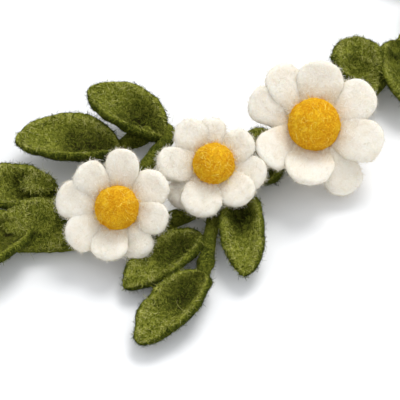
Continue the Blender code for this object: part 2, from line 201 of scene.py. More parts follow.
# A leaf's base point, the way it points and rises, its roll about its length, its size, and how its two
# sides and its length curl. A side with a negative curl bends down.
Leaf = namedtuple("Leaf", "name base heading pitch roll length width curl_left curl_right bend")
SEEN_LEAVES = (
    Leaf("leaf_a1", (0.0325, -0.1110, 0.0060), 177, 4, 0, 0.040, 0.0270, 95, 60, 6),
    Leaf("leaf_a2", (0.0485, -0.1050, 0.0070), 147, 8, 0, 0.0345, 0.0245, 95, 60, 6),
    Leaf("leaf_b1", (0.0630, -0.1505, 0.0060), 220, -3, 0, 0.037, 0.0190, 70, 70, 4),
    Leaf("leaf_b2", (0.0642, -0.1690, 0.0060), 232, -2, 0, 0.039, 0.0205, 75, 65, 4),
    Leaf("leaf_b3", (0.0770, -0.1305, 0.0080), 273, -3, 0, 0.040, 0.0185, 70, 70, 4),
    Leaf("leaf_l1", (0.0100, -0.1345, 0.0080), 176, 3, 0, 0.036, 0.0235, 70, 70, 4),
    Leaf("leaf_l2", (-0.0005, -0.1505, 0.0090), 206, -2, 0, 0.042, 0.0290, 75, 70, 4),
    Leaf("leaf_l3", (0.0160, -0.1485, 0.0105), 180, 0, -23, 0.027, 0.0205, -30, -30, 4),
    Leaf("leaf_l4", (0.0085, -0.1315, 0.0110), 183, 6, 0, 0.0125, 0.0105, 25, 25, 4),
    Leaf("leaf_m1", (0.0885, -0.1255, 0.0060), 102, 2, 0, 0.025, 0.0180, 60, 60, 4),
    Leaf("leaf_r1", (0.1255, -0.0825, 0.0090), 104, 6, 0, 0.0235, 0.0220, 75, 75, 4),
    Leaf("leaf_r2", (0.1195, -0.0670, 0.0095), 290, 0, 0, 0.0225, 0.0160, 50, 50, 4),
    Leaf("leaf_r3", (0.1380, -0.0580, 0.0080), 285, 0, 0, 0.038, 0.0250, 70, 70, 4),
)

# The sprigs' stems: how thick they are, and their points from the vine outwards. Each has a knob near its
# end.
STEM_KNOB = 0.35
STEM_KNOB_PLACE = 0.84
STEM_KNOB_LENGTH = 0.07
Stem = namedtuple("Stem", "name radius points")
STEMS = (
    Stem("sprig_a_stem", 0.0028, (
        (0.0220, -0.1490, 0.006), (0.0310, -0.1350, 0.006), (0.0420, -0.1180, 0.006),
        (0.0500, -0.1055, 0.006), (0.0505, -0.1010, 0.006), (0.0460, -0.0995, 0.005),
        (0.0380, -0.1040, 0.005), (0.0325, -0.1085, 0.005),
    )),
    Stem("sprig_b_stem", 0.0025, (
        (0.0690, -0.1320, 0.005), (0.0676, -0.1410, 0.006), (0.0664, -0.1510, 0.006),
        (0.0652, -0.1600, 0.006), (0.0634, -0.1685, 0.005),
    )),
)

# The plain rest of the ring, as in the part's source.
PLAIN_FIRST = 12
PLAIN_STEP = 37
PLAIN_COUNT = 7
PLAIN_REACH = (0.0220, 0.0255)
PLAIN_WIDTH_SHARE = 0.63
PLAIN_BALL_HEIGHT = 0.019
PLAIN_LEAN = 16
PLAIN_PETALS = 8
PLAIN_PETAL_SHIFT = 17
PLAIN_REACHES = (1.0, 0.96, 0.92)
PLAIN_LIFTS = (14, 9, 16, 11)
PLAIN_OVERS = (0.0006, -0.0006, 0.0002, -0.0002)
BunchLeaf = namedtuple("BunchLeaf", "name turn length width")
PLAIN_BUNCH = (
    BunchLeaf("out", -40, 0.042, 0.026),
    BunchLeaf("in", 42, 0.040, 0.025),
    BunchLeaf("back", 152, 0.034, 0.022),
)
PLAIN_BUNCH_BEFORE = 21
PLAIN_LEAF_HEIGHT = 0.006
PLAIN_LEAF_PITCH = 6
PLAIN_LEAF_CURL = 70
PLAIN_LEAF_BEND = 8

# How finely a piece is made: rings along it, sides round it, fibres laid on it, and a fuzz of short ones
# that stand off it. A petal's numbers are for one petal. Each piece also has a few strays.
Fineness = namedtuple("Fineness", "rings sides fibres fuzz")
FINE_LEAF = Fineness(44, 32, 5000, 2400)
PLAIN_LEAF = Fineness(26, 22, 1500, 600)
FINE_PETAL = Fineness(26, 24, 380, 1500)
PLAIN_PETAL = Fineness(18, 16, 110, 300)
FINE_BALL = Fineness(24, 32, 1100, 400)
PLAIN_BALL = Fineness(16, 22, 350, 100)
VINE = Fineness(420, 14, 9000, 5000)
STEM = Fineness(60, 16, 1500, 600)
STRAYS = 10

# A kind of loose fibre: its lengths, its width, how far it stands off, how it curls, its steps and tones.
Fibre = namedtuple("Fibre", "shortest longest width stand curl steps darkest palest")
LAID_GREEN = Fibre(0.0010, 0.0031, 0.00020, 0.03, 0.85, 2, 0.08, 1.0)
LAID_WHITE = Fibre(0.0012, 0.0034, 0.00016, 0.06, 0.60, 2, 0.25, 1.0)
LAID_YELLOW = Fibre(0.0016, 0.0044, 0.00023, 0.03, 0.75, 3, 0.30, 1.0)
SHORT_GREEN = Fibre(0.0004, 0.0010, 0.00009, 0.70, 0.10, 1, 0.45, 0.9)
SHORT_WHITE = Fibre(0.0006, 0.0021, 0.00012, 0.70, 0.20, 1, 0.2, 1.0)
SHORT_YELLOW = Fibre(0.0004, 0.0010, 0.00010, 0.60, 0.20, 1, 0.5, 1.0)
STRAY = Fibre(0.0050, 0.0110, 0.00008, 0.30, 0.25, 8, 0.85, 1.0)
GREEN_WOOL = (LAID_GREEN, SHORT_GREEN)
WHITE_WOOL = (LAID_WHITE, SHORT_WHITE)
YELLOW_WOOL = (LAID_YELLOW, SHORT_YELLOW)

# Every fibre: how far it starts off the felt, how its width varies and tapers, and how each of its steps
# falls back to the felt, twists and wanders. It takes painted shade in hollows and underneath, and a
# painted highlight on a rim.
FIBRE_LIFT = 0.3
FIBRE_WIDTHS = (0.6, 1.4)
FIBRE_TAPER = 0.7
FIBRE_FALL = 0.20
FIBRE_TWIST = 0.3
FIBRE_WANDER = 0.12
FIBRE_SHADE = 0.5
FIBRE_RIM_HIGHLIGHT = 0.3

# The colours of a felt, from its darkest strands to its palest.
GREEN_TONES = (
    (0.00, (0.010, 0.013, 0.002)),
    (0.30, (0.040, 0.053, 0.006)),
    (0.55, (0.158, 0.178, 0.019)),
    (0.80, (0.345, 0.360, 0.050)),
    (1.00, (0.520, 0.500, 0.170)),
)
YELLOW_TONES = (
    (0.00, (0.480, 0.180, 0.004)),
    (0.35, (0.710, 0.290, 0.007)),
    (0.70, (0.920, 0.570, 0.022)),
    (1.00, (0.990, 0.800, 0.140)),
)
WHITE_TONES = (
    (0.00, (0.680, 0.590, 0.440)),
    (0.40, (0.880, 0.820, 0.700)),
    (0.75, (0.940, 0.905, 0.815)),
    (1.00, (0.970, 0.955, 0.910)),
)
# Painted brown shade for the leaves' hollows and creases, and a little on the vine and stems.
PAINTED_HOLLOW_SHADE = (0.022, 0.018, 0.004)
# Painted tan shade with light bounced off the ball, on the petals next to it.
PAINTED_BALL_BOUNCE = (0.640, 0.500, 0.310)
# Painted beige shade on the petals' undersides and edges, and on the daisies' feet.
PAINTED_EDGE_SHADE = (0.580, 0.500, 0.360)

# A felt's grain: how fine its patches and strands are, how thin the strands, how much lighter they are than
# the rest, and how deep and how strong its bumps are.
Grain = namedtuple("Grain", "patch strand sharpness lightness depth strength")
GREEN_GRAIN = Grain(90, 420, 20, 0.30, 0.0008, 0.9)
YELLOW_GRAIN = Grain(160, 600, 18, 0.30, 0.0006, 0.8)
WHITE_GRAIN = Grain(130, 500, 14, 0.10, 0.0006, 0.8)

# Every felt: patches and a finer grain make its tone, and a wide and a narrow set of strands cross it.
PATCH_SHARE = 0.6
FINE_SHARE = 0.4
FINE_SCALE = 2.5
NARROW_SCALE = 1.7
NARROW_SHARPNESS = 0.8
WIDE_CURL = 0.8
NARROW_CURL = 1.6
PATCH_DETAIL = 3.0
STRAND_DETAIL = 1.0
FELT_ROUGHNESS = 0.95
FIBRE_ROUGHNESS = 0.9
SPECULAR = 0.04

# How much a painted highlight lightens a leaf's rim, how much painted shade darkens its underside, how much
# darker the balls are, and how the painted browns and beiges show: the scale of the noise that breaks them
# up, and their strength. The browns are painted shade in the hollows, the halo round the ball is painted
# tan shade with light bounced off the ball, and the edges' beige is painted shade.
RIM_HIGHLIGHT = 0.16
UNDER_SHADE = 0.30
BALL_DARKENING = 0.12
HOLLOW_SCALE = 300
HOLLOW_STRENGTH = 2.0
HALO_REACH = 0.28
HALO_POWER = 1.5
HALO_SCALE = 500
HALO_STRENGTH = 1.3
EDGE_SHADE_STRENGTH = 0.8

# The light that goes through a petal's wool.
GLOW_WEIGHT = 0.25
GLOW_RADIUS = (1.0, 0.75, 0.5)
GLOW_SCALE = 0.0025


def unit(vectors):
    """Vectors scaled to length one, row by row."""
    return vectors / np.maximum(np.linalg.norm(vectors, axis=-1, keepdims=True), 1e-12)


def squared(value, power):
    """Pushes a value of a round section out towards a rounded rectangle."""
    return np.sign(value) * np.abs(value) ** power


def vine_point(angle, height):
    """A point above the vine's middle line, at an angle in degrees round the ring."""
    wander = math.sin(math.radians(VINE_WANDER_TURNS * angle + VINE_WANDER_START))
    reach = RING_RADIUS + VINE_WANDER * wander
    turn = math.radians(angle)
    return Vector((reach * math.cos(turn), reach * math.sin(turn), height))


def angles(sides):
    """Angles evenly round a section."""
    return np.arange(sides) * 2 * math.pi / sides


def underside(phi, under):
    """How much a section counts as underneath at its angles, from 0 to 1."""
    return np.clip((under.height - np.sin(phi)) / under.fade, 0, 1)


def outwards(flat, shape):
    """The way from each ring's middle to its points."""
    rings = flat.reshape(shape)
    return unit(rings - rings.mean(axis=1, keepdims=True)).reshape(-1, 3)


def lumps(points, lump, seed):
    """A smooth random height at each point."""
    shift = Vector([seed * step for step in SEED_STEPS])
    return lump.height * np.array([noise.noise(Vector(p) / lump.size + shift) for p in points])


def lumpy(points, way, kinds, seed):
    """Points moved along their ways by large and small lumps together."""
    heights = [lumps(points, lump, seed + i) for i, lump in enumerate(kinds)]
    return points + way * sum(heights)[:, None]


def placed(matrix, points):
    """Points carried by a matrix."""
    turn = np.array(matrix.to_3x3())
    return points @ turn.T + np.array(matrix.translation)


def lofted(name, rings, material, closed=False, marks=None):
    """A smooth mesh object through an array of rings. marks are numbers that the material reads."""
    count, sides = rings.shape[:2]
    index = np.arange(count * sides).reshape(count, sides)
    here = index if closed else index[:-1]
    there = np.roll(index, -1, axis=0) if closed else index[1:]
    faces = np.stack((here, np.roll(here, -1, axis=1), np.roll(there, -1, axis=1), there), axis=-1)
    faces = [tuple(f) for f in faces.reshape(-1, 4).tolist()]
    points = rings.reshape(-1, 3)
    values = {key: value.reshape(-1) for key, value in (marks or {}).items()}
    if not closed:
        ends = (rings[0].mean(axis=0), rings[-1].mean(axis=0))
        points = np.concatenate((points, ends))
        values = {key: np.append(value, (value[0], value[-1])) for key, value in values.items()}
        first, last = count * sides, count * sides + 1
        faces += [(k, first, (k + 1) % sides) for k in range(sides)]
        top = (count - 1) * sides
        faces += [(top + (k + 1) % sides, last, top + k) for k in range(sides)]
    return mesh_object(name, points, faces, material, values)


def mesh_object(name, points, faces, material, values):
    """A smooth mesh object with a material and named numbers at its points."""
    mesh = bpy.data.meshes.new(name)
    mesh.from_pydata(points.tolist(), [], faces)
    mesh.update()
    for key, value in values.items():
        mesh.attributes.new(key, "FLOAT", "POINT").data.foreach_set("value", value.astype(np.float32))
    mesh.materials.append(material)
    mesh.shade_smooth()
    obj = bpy.data.objects.new(name, mesh)
    obj.location = (*RING_CENTRE, 0)
    bpy.context.scene.collection.objects.link(obj)
    return obj


def joined(name, parts):
    """One object out of several."""
    with bpy.context.temp_override(active_object=parts[0], selected_editable_objects=parts):
        bpy.ops.object.join()
    parts[0].name = name
    parts[0].data.name = name
    return parts[0]


def scattered(mesh, count, rng):
    """Random points on a mesh, evenly over its area, the ways out of it, and how shaded it is there."""
    mesh.calc_loop_triangles()
    corners = np.empty(len(mesh.loop_triangles) * 3, np.int32)
    mesh.loop_triangles.foreach_get("vertices", corners)
    places = np.empty(len(mesh.vertices) * 3)
    mesh.vertices.foreach_get("co", places)
    a, b, c = places.reshape(-1, 3)[corners.reshape(-1, 3)].transpose(1, 0, 2)
    face = np.cross(b - a, c - a)
    area = np.linalg.norm(face, axis=1)
    pick = rng.choice(len(area), count, p=area / area.sum())
    u, v = rng.random((2, count, 1))
    fold = (u + v) > 1
    u, v = np.where(fold, 1 - u, u), np.where(fold, 1 - v, v)
    shade = shades(mesh)[corners.reshape(-1, 3)].mean(axis=1)[pick]
    return a[pick] + u * (b - a)[pick] + v * (c - a)[pick], unit(face[pick]), shade


def shades(mesh):
    """How much painted shade a piece has at its points: in hollows and underneath, less a painted rim
    highlight.
    """
    values = {name: np.zeros(len(mesh.vertices), np.float32) for name in ("hollow", "under", "rim")}
    for name, value in values.items():
        if name in mesh.attributes:
            mesh.attributes[name].data.foreach_get("value", value)
    return np.maximum(values["hollow"], values["under"]) - FIBRE_RIM_HIGHLIGHT * values["rim"]


def ribbons(name, fibre, point, normal, shade, rng, material):
    """Fibres as thin ribbons that start at points, curl, and stand off by the fibre's share."""
    count = len(point)
    ahead = unit(np.cross(normal, rng.normal(size=(count, 3))))
    ahead = unit(ahead + normal * fibre.stand * rng.exponential(1.0, (count, 1)))
    length = rng.uniform(fibre.shortest, fibre.longest, (count, 1))
    width = fibre.width * rng.uniform(*FIBRE_WIDTHS, (count, 1))
    bend = rng.normal(0, fibre.curl, (count, 1))
    rows = []
    for step in range(fibre.steps + 1):
        side = unit(np.cross(ahead, rng.normal(size=(count, 3)) * FIBRE_TWIST + normal))
        half = side * width * (1 - FIBRE_TAPER * step / fibre.steps) / 2
        rows.append(np.stack((point - half, point + half), axis=1))
        point = point + ahead * length / fibre.steps
        ahead = ahead + np.cross(normal, ahead) * bend - normal * FIBRE_FALL
        ahead = unit(ahead + rng.normal(0, FIBRE_WANDER, (count, 3)))
    points = np.stack(rows, axis=1).reshape(-1, 3)
    points[:, 2] = np.maximum(points[:, 2], fibre.width)
    start = np.arange(count)[:, None] * 2 * (fibre.steps + 1) + 2 * np.arange(fibre.steps)[None, :]
    faces = np.stack((start, start + 1, start + 3, start + 2), axis=-1).reshape(-1, 4)
    # Each fibre takes the painted shade and rim highlight of the felt under it.
    tone = rng.uniform(fibre.darkest, fibre.palest, count) * (1 - FIBRE_SHADE * shade)
    tone = np.repeat(np.clip(tone, 0, 1), 2 * (fibre.steps + 1))
    return mesh_object(name, points, [tuple(f) for f in faces.tolist()], material, {"tone": tone})


def add_wool(piece, fibres, fineness, seed, material, repeats=1):
    """Fibres on a piece: some laid on it, short ones that stand off it, and a few long strays."""
    rng = np.random.default_rng(seed)
    laid, short = fibres
    kinds = ((laid, fineness.fibres * repeats), (short, fineness.fuzz * repeats), (STRAY, STRAYS))
    parts = []
    for fibre, count in kinds:
        point, normal, shade = scattered(piece.data, count, rng)
        start = point + normal * fibre.width * FIBRE_LIFT
        parts.append(ribbons("fibres", fibre, start, normal, shade, rng, material))
    wool = joined(piece.name.replace("_felt", "_fibres"), parts)
    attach(wool, "root")


def link(tree, source, target):
    """Joins two sockets of a node tree."""
    tree.links.new(source, target)


def toned(tree, level, tones):
    """The colour at a level between a felt's darkest and palest tones."""
    node = tree.nodes.new("ShaderNodeValToRGB")
    ramp = node.color_ramp
    while len(ramp.elements) < len(tones):
        ramp.elements.new(0.5)
    for element, (place, colour) in zip(ramp.elements, tones):
        element.position = place
        element.color = (*colour, 1.0)
    link(tree, level, node.inputs[0])
    return node.outputs[0]


def math_node(tree, operation, a, b=None, clamp=False):
    """The output of a maths node. a and b are sockets or numbers."""
    node = tree.nodes.new("ShaderNodeMath")
    node.operation = operation
    node.use_clamp = clamp
    for socket, value in zip(node.inputs, (a, b)):
        if isinstance(value, bpy.types.NodeSocket):
            link(tree, value, socket)
        elif value is not None:
            socket.default_value = value
    return node.outputs[0]


def plus(tree, level, value, share):
    """A level with a share of a value added to it."""
    return math_node(tree, "ADD", level, math_node(tree, "MULTIPLY", value, share))


def noise_node(tree, place, scale, detail=PATCH_DETAIL, distortion=0.0):
    """The height of a noise texture at a place."""
    node = tree.nodes.new("ShaderNodeTexNoise")
    link(tree, place, node.inputs["Vector"])
    node.inputs["Scale"].default_value = scale
    node.inputs["Detail"].default_value = detail
    node.inputs["Distortion"].default_value = distortion
    return node.outputs["Fac"]


def strand_node(tree, place, scale, sharpness, curl):
    """Curly lines: the places where a noise crosses its middle height."""
    height = noise_node(tree, place, scale, STRAND_DETAIL, curl)
    off = math_node(tree, "ABSOLUTE", math_node(tree, "SUBTRACT", height, 0.5))
    return math_node(tree, "SUBTRACT", 1.0, math_node(tree, "MULTIPLY", off, sharpness), clamp=True)


def mark_node(tree, name):
    """The number that a mesh holds under a name."""
    node = tree.nodes.new("ShaderNodeAttribute")
    node.attribute_name = name
    return node.outputs["Fac"]


def patchy_mark(tree, place, name, scale, strength):
    """A mesh's number, broken up by a noise."""
    broken = math_node(tree, "MULTIPLY", mark_node(tree, name), noise_node(tree, place, scale))
    return math_node(tree, "MULTIPLY", broken, strength, clamp=True)


def mixed(tree, share, under, over):
    """A colour with a share of another over it."""
    node = tree.nodes.new("ShaderNodeMix")
    node.data_type = "RGBA"
    link(tree, share, node.inputs[0])
    link(tree, under, node.inputs[6])
    node.inputs[7].default_value = (*over, 1.0)
    return node.outputs[2]


def new_material(name, roughness):
    """A dull material with its node tree, its shader and its object coordinates."""
    material = bpy.data.materials.new(name)
    material.use_nodes = True
    tree = material.node_tree
    shader = tree.nodes["Principled BSDF"]
    shader.inputs["Roughness"].default_value = roughness
    shader.inputs["Specular IOR Level"].default_value = SPECULAR
    place = tree.nodes.new("ShaderNodeTexCoord").outputs["Object"]
    return material, tree, shader, place


def felt_level(tree, place, grain):
    """How light a felt is at a place: soft patches, and two sets of curly strands that cross them."""
    patches = noise_node(tree, place, grain.patch)
    fine = noise_node(tree, place, grain.strand * FINE_SCALE)
    wide = strand_node(tree, place, grain.strand, grain.sharpness, WIDE_CURL)
    thin = grain.sharpness * NARROW_SHARPNESS
    narrow = strand_node(tree, place, grain.strand * NARROW_SCALE, thin, NARROW_CURL)
    tone = plus(tree, math_node(tree, "MULTIPLY", patches, PATCH_SHARE), fine, FINE_SHARE)
    return plus(tree, tone, math_node(tree, "MAXIMUM", wide, narrow), grain.lightness)


def add_bump(tree, shader, height, grain):
    """Bumps the surface of a felt."""
    bump = tree.nodes.new("ShaderNodeBump")
    bump.inputs["Distance"].default_value = grain.depth
    bump.inputs["Strength"].default_value = grain.strength
    link(tree, height, bump.inputs["Height"])
    link(tree, bump.outputs["Normal"], shader.inputs["Normal"])


def green_felt():
    """The leaves' and stems' felt: dark to olive strands, painted brown shade in hollows, painted shade
    underneath.
    """
    material, tree, shader, place = new_material("leaf_felt_wool", FELT_ROUGHNESS)
    level = felt_level(tree, place, GREEN_GRAIN)
    # A painted highlight on a leaf's rim, and painted shade on its underside.
    level = plus(tree, level, mark_node(tree, "rim"), RIM_HIGHLIGHT)
    level = plus(tree, level, mark_node(tree, "under"), -UNDER_SHADE)
    # Painted brown shade in the hollows and creases, broken up by a noise.
    hollow = patchy_mark(tree, place, "hollow", HOLLOW_SCALE, HOLLOW_STRENGTH)
    colour = mixed(tree, hollow, toned(tree, level, GREEN_TONES), PAINTED_HOLLOW_SHADE)
    link(tree, colour, shader.inputs["Base Color"])
    add_bump(tree, shader, level, GREEN_GRAIN)
    return material


def yellow_felt():
    """The balls' felt: dense golden strands."""
    material, tree, shader, place = new_material("ball_felt_wool", FELT_ROUGHNESS)
    level = math_node(tree, "SUBTRACT", felt_level(tree, place, YELLOW_GRAIN), BALL_DARKENING)
    link(tree, toned(tree, level, YELLOW_TONES), shader.inputs["Base Color"])
    add_bump(tree, shader, level, YELLOW_GRAIN)
    return material


def white_felt():
    """The petals' felt: warm white, painted tan shade and bounce light next to the ball, painted beige
    shade on its edges.
    """
    material, tree, shader, place = new_material("petal_felt_wool", FELT_ROUGHNESS)
    level = felt_level(tree, place, WHITE_GRAIN)
    # Painted tan shade with bounce light from the ball, next to it, broken up by a noise.
    near = patchy_mark(tree, place, "near", HALO_SCALE, HALO_STRENGTH)
    colour = mixed(tree, near, toned(tree, level, WHITE_TONES), PAINTED_BALL_BOUNCE)
    # Painted beige shade on the petal's underside and edges.
    edge = math_node(tree, "MULTIPLY", mark_node(tree, "under"), EDGE_SHADE_STRENGTH)
    colour = mixed(tree, edge, colour, PAINTED_EDGE_SHADE)
    link(tree, colour, shader.inputs["Base Color"])
    shader.inputs["Subsurface Weight"].default_value = GLOW_WEIGHT
    shader.inputs["Subsurface Radius"].default_value = GLOW_RADIUS
    shader.inputs["Subsurface Scale"].default_value = GLOW_SCALE
    add_bump(tree, shader, level, WHITE_GRAIN)
    return material


def fibre_material(name, tones):
    """Loose fibres, each of one tone of its felt."""
    material, tree, shader, _ = new_material(name, FIBRE_ROUGHNESS)
    link(tree, toned(tree, mark_node(tree, "tone"), tones), shader.inputs["Base Color"])
    return material


def leaf_outline(s):
    """A leaf's half width along its length: a narrow stalk that widens to a blunt oval."""
    t = s ** LEAF_SKEW
    return np.maximum(LEAF_STALK * (1 - s), (4 * t * (1 - t)) ** LEAF_BLUNTNESS)


def stations(count):
    """Shares along a piece, closer together at its ends."""
    return (1 - np.cos(math.pi * np.linspace(0.0, 1.0, count))) / 2


def leaf_points(leaf, fineness):
    """A leaf in its own frame, its marks, and which of its points face up, away from its rim."""
    s = stations(fineness.rings)[:, None] * LEAF_SPAN + LEAF_START
    phi = angles(fineness.sides)[None, :]
    across = squared(np.cos(phi), LEAF_SQUARENESS)
    upper = np.sin(phi) > 0
    dip = np.clip(1 - ((s - LEAF_DIP_PLACE) / LEAF_DIP_REACH) ** 2, 0, 1) * (1 - across ** 2) ** 2
    near_tip = np.clip((1 - s) * leaf.length / (LEAF_THICKNESS * LEAF_TIP_ROUND), 0, 1)
    thick = LEAF_THICKNESS / 2 * (1 - LEAF_TIP_THINNING * s ** 8) * np.sqrt(1 - (1 - near_tip) ** 2)
    rim = LEAF_RIM * (np.abs(across) ** 2 - LEAF_RIM_LEVEL) * (1 - s ** 4)
    above = squared(np.sin(phi), LEAF_SQUARENESS) * (thick + rim) - np.where(upper, LEAF_DIP * dip, 0)
    # The marks paint shade into the hollow and underneath, and a highlight onto the rim.
    marks = {
        "hollow": np.where(upper, dip, 0.0),
        "rim": np.where(upper, np.abs(across) ** 3 + 0 * s, 0.0),
        "under": underside(phi, LEAF_UNDER) + 0 * s,
    }
    return curled(leaf, s, across, above), marks, upper * (1 - np.abs(across) ** 4)


def curled(leaf, s, across, above):
    """A leaf's pad with its sides rolled up and its length bent."""
    half = leaf.width / 2 * leaf_outline(s)
    sides = np.where(across > 0, leaf.curl_left, leaf.curl_right)
    curl = np.radians(sides) * (1 - (1 - LEAF_TIP_CURL) * s)
    angle = curl * across
    out = half * np.sin(angle) / curl - np.sin(angle) * above
    rise = half * (1 - np.cos(angle)) / curl + np.cos(angle) * above
    turn = math.radians(leaf.bend) * s
    arc = leaf.length / math.radians(leaf.bend)
    along = arc * np.sin(turn) - np.sin(turn) * rise
    up = arc * (1 - np.cos(turn)) + np.cos(turn) * rise
    return np.stack((along, out, up), axis=-1)


def leaf_matrix(leaf):
    """The frame of a leaf: its origin is the stalk's end, and +X runs along it."""
    return (
        Matrix.Translation(leaf.base)
        @ Matrix.Rotation(math.radians(leaf.heading), 4, "Z")
        @ Matrix.Rotation(-math.radians(leaf.pitch), 4, "Y")
        @ Matrix.Rotation(math.radians(leaf.roll), 4, "X")
    )


def leaf_object(leaf, fineness, seed, material):
    """A leaf, lumpy as felt is, with creases where its bunch has them."""
    points, marks, top = leaf_points(leaf, fineness)
    flat = placed(leaf_matrix(leaf), points.reshape(-1, 3))
    way = outwards(flat, points.shape)
    for i, lump in enumerate(LEAF_LUMPS):
        flat = flat + way * lumps(flat, lump, seed + i)[:, None]
    # A crease is pressed in and painted shade darkens it. The hollow's painted shade is halved there.
    if leaf.name.startswith(CREASED_BUNCHES):
        depth = np.clip(-lumps(flat, CREASES, seed + len(LEAF_LUMPS)) - CREASE_LEVEL, 0, 1)
        depth = depth.reshape(points.shape[:2]) * top
        marks["hollow"] = np.maximum(marks["hollow"] * CREASED_HOLLOW, depth)
        flat = flat - way * CREASE_DEPTH * depth.reshape(-1, 1)
    flat[:, 2] = np.maximum(flat[:, 2], LEAF_FLOOR)
    return lofted(leaf.name + "_felt", flat.reshape(points.shape), material, marks=marks)


def daisy_matrix(daisy):
    """The frame of a daisy: its origin is the ball's centre and +Z is the way it faces."""
    facing = Matrix.Rotation(math.radians(daisy.lean_to), 4, "Z")
    lean = Matrix.Rotation(math.radians(daisy.lean), 4, "Y")
    return Matrix.Translation(daisy.ball) @ facing @ lean @ Matrix.Rotation(math.radians(90), 4, "Z")


def petal_points(daisy, petal, fineness):
    """A petal in its daisy's frame, and its marks: a puffy pad with a narrow base and a round end."""
    radius = BALL_SHARE * daisy.reach
    reach = petal.reach * daisy.reach
    half = petal.width * daisy.width / 2
    start = PETAL_START * radius
    x = start + (reach - start) * stations(fineness.rings)[:, None]
    belly = reach - half
    end = np.clip((x - belly) / half, 0, 1)
    neck = np.clip((x - start) / (belly - start), 0, 1)
    swell = np.sin(neck * math.pi / 2)
    width = half * (PETAL_NECK_WIDTH + PETAL_WIDENING * swell ** PETAL_WIDENING_POWER)
    width = width * np.sqrt(np.clip(1 - end ** PETAL_END_POWER, 0, 1))
    edge = np.clip((reach - x) / (PETAL_THICKNESS * PETAL_END_ROUND), 0, 1)
    thick = PETAL_THICKNESS / 2 * np.sqrt(1 - (1 - edge) ** 2)
    thick = thick * (PETAL_NECK_THICKNESS + PETAL_THICKENING * swell)
    phi = angles(fineness.sides)[None, :]
    across = squared(np.cos(phi), PETAL_SIDE_SQUARENESS)
    above = squared(np.sin(phi), PETAL_FACE_SQUARENESS)
    cup = PETAL_CUP * (across ** 2) * neck * (1 - end)
    y = width * across
    rise = np.maximum(0, x - radius) * math.tan(math.radians(petal.lift))
    z = -BALL_SINK * radius + rise + petal.over * neck + thick * above + cup
    roll = math.radians(petal.roll)
    y, z = y * math.cos(roll), z + y * math.sin(roll)
    # Where the painted bounce light and shade from the ball go, and where the painted edge shade goes.
    near = np.clip(1 - (x - radius) / (HALO_REACH * daisy.reach), 0, 1) ** HALO_POWER
    marks = {"near": near + 0 * y, "under": underside(phi, PETAL_UNDER) + 0 * y}
    return np.stack((x + 0 * y, y, z), axis=-1), marks


def petal_object(daisy, petal, fineness, seed, material):
    """One petal, a little lumpy as felt is."""
    points, marks = petal_points(daisy, petal, fineness)
    matrix = daisy_matrix(daisy) @ Matrix.Rotation(math.radians(petal.turn), 4, "Z")
    flat = placed(matrix, points.reshape(-1, 3))
    flat = lumpy(flat, outwards(flat, points.shape), PETAL_LUMPS, seed)
    return lofted("petal", flat.reshape(points.shape), material, marks=marks)


def foot_object(daisy, material):
    """The felt under a daisy's ball, by which it stands on the vine."""
    matrix = daisy_matrix(daisy)
    radius = BALL_SHARE * daisy.reach
    lowest = matrix @ Vector((0, 0, -radius))
    foot = np.array(vine_point(math.degrees(math.atan2(lowest.y, lowest.x)), FOOT_HEIGHT))
    phi = angles(FOOT_SIDES)
    circle = np.stack((np.cos(phi), np.sin(phi), 0 * phi), axis=-1)
    rings = [foot + circle * FOOT_SHARE * daisy.reach]
    for width, height in FOOT_RINGS:
        ring = circle * radius * width + np.array((0, 0, radius * height))
        rings.append(placed(matrix, ring))
    rings = np.array(rings)
    # The foot takes the petals' painted beige shade all over.
    marks = {"near": np.zeros(rings.shape[:2]), "under": np.ones(rings.shape[:2])}
    return lofted("foot", rings, material, marks=marks)


def corolla_object(daisy, fineness, seed, material):
    """A daisy's petals and their foot, as one object."""
    parts = [foot_object(daisy, material)]
    for i, petal in enumerate(daisy.petals):
        parts.append(petal_object(daisy, petal, fineness, seed + i, material))
    return joined(daisy.name + "_petals_felt", parts)


def ball_object(daisy, fineness, seed, material):
    """The felted ball at a daisy's centre."""
    radius = BALL_SHARE * daisy.reach
    down = (math.pi * (np.arange(fineness.rings) + 0.5) / fineness.rings)[:, None]
    phi = angles(fineness.sides)[None, :]
    ring = np.sin(down)
    shape = np.stack((ring * np.cos(phi), ring * np.sin(phi), np.cos(down) + 0 * phi), axis=-1)
    flat = placed(daisy_matrix(daisy), shape.reshape(-1, 3) * radius)
    flat = lumpy(flat, unit(flat - np.array(daisy.ball)), BALL_LUMPS, seed)
    return lofted(daisy.name + "_centre_felt", flat.reshape(shape.shape), material)


def vine_object(material):
    """The felt-wrapped ring, with a flat underside."""
    phi = angles(VINE.sides)
    rings = []
    for i in range(VINE.rings):
        angle = 360 * i / VINE.rings
        turn = math.radians(angle)
        radius = VINE_RADIUS * (1 + VINE_SWELL * math.sin(math.radians(VINE_SWELL_TURNS * angle)))
        centre = np.array(vine_point(angle, VINE_FLAT * radius))
        out = np.array((math.cos(turn), math.sin(turn), 0)) * (np.cos(phi) * radius)[:, None]
        height = np.maximum(np.sin(phi) * radius, -VINE_FLAT * radius)
        rings.append(centre + out + np.array((0, 0, 1)) * height[:, None])
    return lumpy_tube("vine_felt", np.array(rings), VINE_SEEDS.lumps, material, closed=True)


def lumpy_tube(name, rings, seed, material, closed=False):
    """A tube of felt with a hand-wound, lumpy surface that stays above the surface it lies on."""
    flat = rings.reshape(-1, 3)
    flat = lumpy(flat, outwards(flat, rings.shape), TUBE_LUMPS, seed)
    flat[:, 2] = np.maximum(flat[:, 2], TUBE_FLOOR)
    even = np.ones(rings.shape[:2])
    # Even shares of painted brown hollow shade and underside shade darken the whole tube.
    marks = {"hollow": TUBE_HOLLOW * even, "rim": 0 * even, "under": TUBE_UNDER * even}
    return lofted(name, flat.reshape(rings.shape), material, closed, marks)


